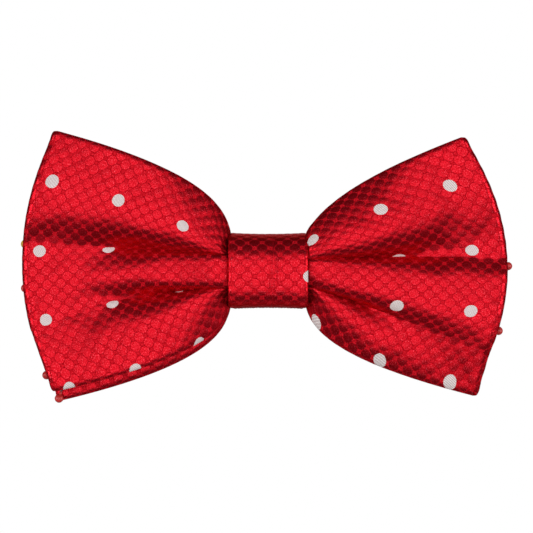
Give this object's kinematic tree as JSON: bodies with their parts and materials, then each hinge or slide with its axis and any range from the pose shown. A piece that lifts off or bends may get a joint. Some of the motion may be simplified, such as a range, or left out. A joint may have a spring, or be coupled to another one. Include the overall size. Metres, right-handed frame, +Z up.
{
  "type": "bow tie",
  "caption": "Pre-tied butterfly bow tie with two stacked bows, a wrapped knot and an adjustable neckband closed by a hook and eye.",
  "frame": {"origin": "centre of the neck opening, at the mid-height of the neckband", "axes": "+Z up as worn, -Y the way the wearer and the front of the bow face, +X to the right of someone who looks at the front"},
  "size_m": [0.1222, 0.1359, 0.067],
  "materials": {
    "jacquard_cloth": "satin honeycomb jacquard with woven spots",
    "interlining": "matt woven",
    "sewing_thread": "satin twisted thread",
    "plated_metal": "satin nickel plate",
    "pin_steel": "polished",
    "pin_head_red": "glossy",
    "pin_head_yellow": "glossy"
  },
  "bodies": {
    "root": {"front_bow_cloth": "jacquard_cloth", "front_bow_interlining": "interlining", "rear_bow_cloth": "jacquard_cloth", "rear_bow_interlining": "interlining", "gather_thread": "sewing_thread", "knot_wrap": "jacquard_cloth", "knot_interlining": "interlining", "knot_seam_thread": "sewing_thread", "neckband_strap": "jacquard_cloth", "strap_tail": "jacquard_cloth", "eye_bartack": "sewing_thread"},
    "slider": {"slide_adjuster": "plated_metal", "tail_bartack": "sewing_thread"},
    "hook": {"neckband_hook": "plated_metal"},
    "eye": {"neckband_eye": "plated_metal"},
    "pin_left_upper": {"pin_head_left_upper": "pin_head_yellow", "pin_shaft_left_upper": "pin_steel"},
    "pin_left_middle": {"pin_head_left_middle": "pin_head_red", "pin_shaft_left_middle": "pin_steel"},
    "pin_left_lower": {"pin_head_left_lower": "pin_head_red", "pin_shaft_left_lower": "pin_steel"},
    "pin_left_corner": {"pin_head_left_corner": "pin_head_red", "pin_shaft_left_corner": "pin_steel"},
    "pin_right_upper": {"pin_head_right_upper": "pin_head_red", "pin_shaft_right_upper": "pin_steel"},
    "pin_right_lower": {"pin_head_right_lower": "pin_head_red", "pin_shaft_right_lower": "pin_steel"}
  },
  "joints": [
    {"name": "slider_travel", "type": "hinge", "parent": "root", "child": "slider", "pos_m": [0, 0, 0], "axis": [0, 0, 1], "range_deg": [-40, 20], "deforming": ["strap_tail"]},
    {"name": "hook_swing", "type": "hinge", "parent": "root", "child": "hook", "pos_m": [-0.0036, 0.05889, 0], "axis": [0, 0, 1], "range_deg": [-35, 0]},
    {"name": "eye_swing", "type": "hinge", "parent": "root", "child": "eye", "pos_m": [-0.02018, 0.05544, 0], "axis": [0, 0, 1], "range_deg": [-20, 2]},
    {"name": "pin_left_upper_pull", "type": "slide", "parent": "root", "child": "pin_left_upper", "axis": [-0.9397, 0, -0.342], "range_m": [0, 0.026]},
    {"name": "pin_left_middle_pull", "type": "slide", "parent": "root", "child": "pin_left_middle", "axis": [-0.9659, 0, -0.2588], "range_m": [0, 0.026]},
    {"name": "pin_left_lower_pull", "type": "slide", "parent": "root", "child": "pin_left_lower", "axis": [-0.2588, 0, -0.9659], "range_m": [0, 0.026]},
    {"name": "pin_left_corner_pull", "type": "slide", "parent": "root", "child": "pin_left_corner", "axis": [-0.2588, 0, -0.9659], "range_m": [0, 0.026]},
    {"name": "pin_right_upper_pull", "type": "slide", "parent": "root", "child": "pin_right_upper", "axis": [1, 0, 0], "range_m": [0, 0.026]},
    {"name": "pin_right_lower_pull", "type": "slide", "parent": "root", "child": "pin_right_lower", "axis": [0.9659, 0, -0.2588], "range_m": [0, 0.026]}
  ]
}
